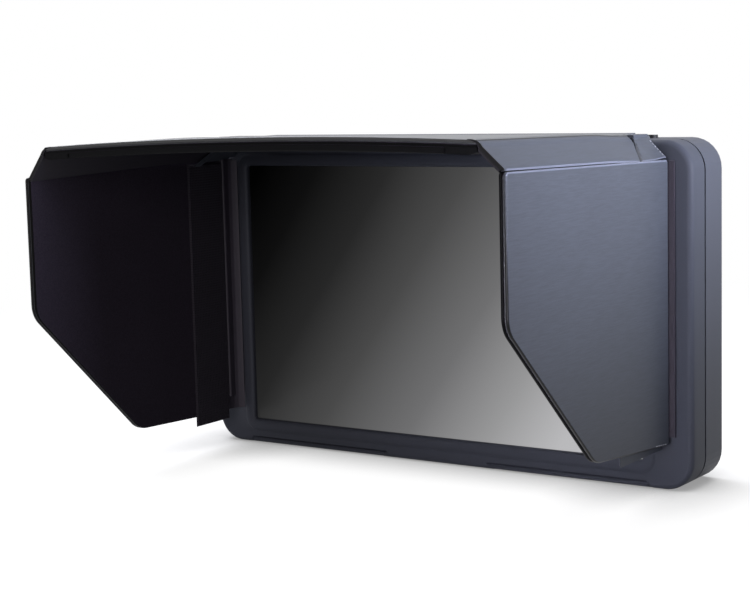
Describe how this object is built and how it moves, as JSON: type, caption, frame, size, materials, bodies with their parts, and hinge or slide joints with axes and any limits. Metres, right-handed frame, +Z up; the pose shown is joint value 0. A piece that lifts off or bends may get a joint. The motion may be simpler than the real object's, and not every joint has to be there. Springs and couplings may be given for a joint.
{
  "type": "camera field monitor with sun hood",
  "caption": "Flat on-camera field monitor with a recessed screen, top keys, rear battery plate, tripod sockets and a folding sun hood of hinged panels.",
  "frame": {"origin": "centre of the mouth of the 1/4 inch tripod socket in the bottom face", "axes": "+X to the viewer's right along the screen's width, +Y from the screen towards the back, +Z up"},
  "size_m": [0.1544, 0.1071, 0.0922],
  "materials": {
    "body_plastic": "fine satin moulded texture, slate black",
    "shell_plastic": "fine satin moulded texture, slate black",
    "gasket_rubber": "matte black",
    "screen_glass": "anti-glare cover glass over a dark screen",
    "display_cell": "dark display cell",
    "backlight_plastic": "white reflector tray",
    "chassis_steel": "stamped sheet",
    "flex_film": "amber film",
    "board_laminate": "green solder mask",
    "chip_plastic": "moulded black",
    "spreader_aluminium": "bare extrusion",
    "socket_steel": "plated sheet",
    "jack_plastic": "moulded black",
    "insert_brass": "turned",
    "plate_plastic": "moulded black",
    "latch_plastic": "moulded dark grey",
    "spring_steel": "drawn wire",
    "contact_brass": "gold plated blades",
    "screw_black": "blackened",
    "screw_steel": "zinc plated",
    "hook_strip": "short black hooks",
    "hinge_strip": "satin black",
    "hood_skin": "fine horizontal grain, coated, slate black",
    "hood_board": "stiffener board",
    "hood_lining": "flocked near-black lining",
    "hood_strap": "black webbing",
    "hood_wing": "fine grain, coated, slate black",
    "key_plastic": "satin black"
  },
  "bodies": {
    "monitor": {"front_bezel": "body_plastic", "rear_shell": "shell_plastic", "seam_gasket": "gasket_rubber", "cover_glass": "screen_glass", "display_cell": "display_cell", "backlight_unit": "backlight_plastic", "panel_chassis": "chassis_steel", "panel_flex": "flex_film", "main_board": "board_laminate", "board_chips": "chip_plastic", "heat_spreader": "spreader_aluminium", "key_board": "board_laminate", "video_in_socket": "socket_steel", "video_out_socket": "socket_steel", "power_in_jack": "jack_plastic", "power_out_jack": "jack_plastic", "headphone_jack": "jack_plastic", "usb_socket": "socket_steel", "bottom_insert": "insert_brass", "side_insert": "insert_brass", "battery_plate": "plate_plastic", "latch_spring": "spring_steel", "battery_contacts": "contact_brass", "shell_screws": "screw_black", "board_screws": "screw_steel", "plate_screws": "screw_black", "top_hook_strip": "hook_strip", "left_hook_strip": "hook_strip", "right_hook_strip": "hook_strip", "left_hinge_strip": "hinge_strip", "right_hinge_strip": "hinge_strip", "hood_root_flap": "hood_skin"},
    "right_side": {"right_board": "hood_board", "right_skin": "hood_skin", "right_lining": "hood_lining", "right_strap": "hood_strap"},
    "left_side": {"left_board": "hood_board", "left_skin": "hood_skin", "left_lining": "hood_lining", "left_strap": "hood_strap"},
    "top_panel": {"top_board": "hood_board", "top_skin": "hood_skin", "top_lining": "hood_lining", "front_lip": "hood_strap"},
    "right_wing": {"right_wing": "hood_wing"},
    "left_wing": {"left_wing": "hood_wing"},
    "battery_latch": {"battery_latch": "latch_plastic"},
    "power_key": {"power_key": "key_plastic"},
    "input_key": {"input_key": "key_plastic"},
    "menu_key": {"menu_key": "key_plastic"},
    "left_key": {"left_key": "key_plastic"},
    "right_key": {"right_key": "key_plastic"},
    "function_key": {"function_key": "key_plastic"}
  },
  "joints": [
    {"name": "right_side_fold", "type": "hinge", "parent": "monitor", "child": "right_side", "pos_m": [0.0694, -0.0154, 0.05], "axis": [0, 0, 1], "range_deg": [-90, 0]},
    {"name": "left_side_fold", "type": "hinge", "parent": "monitor", "child": "left_side", "pos_m": [-0.0694, -0.0182, 0.05], "axis": [0, 0, 1], "range_deg": [0, 90]},
    {"name": "top_fold", "type": "hinge", "parent": "monitor", "child": "top_panel", "pos_m": [0, -0.022, 0.0902], "axis": [1, 0, 0], "range_deg": [0, 90]},
    {"name": "right_wing_fold", "type": "hinge", "parent": "top_panel", "child": "right_wing", "pos_m": [0.0642, -0.054, 0.0899], "axis": [0, 1, 0], "range_deg": [0, 127.1]},
    {"name": "left_wing_fold", "type": "hinge", "parent": "top_panel", "child": "left_wing", "pos_m": [-0.0642, -0.054, 0.0899], "axis": [0, 1, 0], "range_deg": [-127.1, 0]},
    {"name": "battery_latch_press", "type": "slide", "parent": "monitor", "child": "battery_latch", "axis": [0, -1, 0], "range_m": [0, 0.0016], "stiffness_N_per_m": 900},
    {"name": "power_key_press", "type": "slide", "parent": "monitor", "child": "power_key", "axis": [0, 0, -1], "range_m": [0, 0.0006], "stiffness_N_per_m": 1500},
    {"name": "input_key_press", "type": "slide", "parent": "monitor", "child": "input_key", "axis": [0, 0, -1], "range_m": [0, 0.0006], "stiffness_N_per_m": 1500},
    {"name": "menu_key_press", "type": "slide", "parent": "monitor", "child": "menu_key", "axis": [0, 0, -1], "range_m": [0, 0.0006], "stiffness_N_per_m": 1500},
    {"name": "left_key_press", "type": "slide", "parent": "monitor", "child": "left_key", "axis": [0, 0, -1], "range_m": [0, 0.0006], "stiffness_N_per_m": 1500},
    {"name": "right_key_press", "type": "slide", "parent": "monitor", "child": "right_key", "axis": [0, 0, -1], "range_m": [0, 0.0006], "stiffness_N_per_m": 1500},
    {"name": "function_key_press", "type": "slide", "parent": "monitor", "child": "function_key", "axis": [0, 0, -1], "range_m": [0, 0.0006], "stiffness_N_per_m": 1500}
  ],
  "couplings": [
    {"joint": "right_wing_fold", "follows": "top_fold", "ratio": 1.4111},
    {"joint": "left_wing_fold", "follows": "top_fold", "ratio": -1.4111}
  ]
}
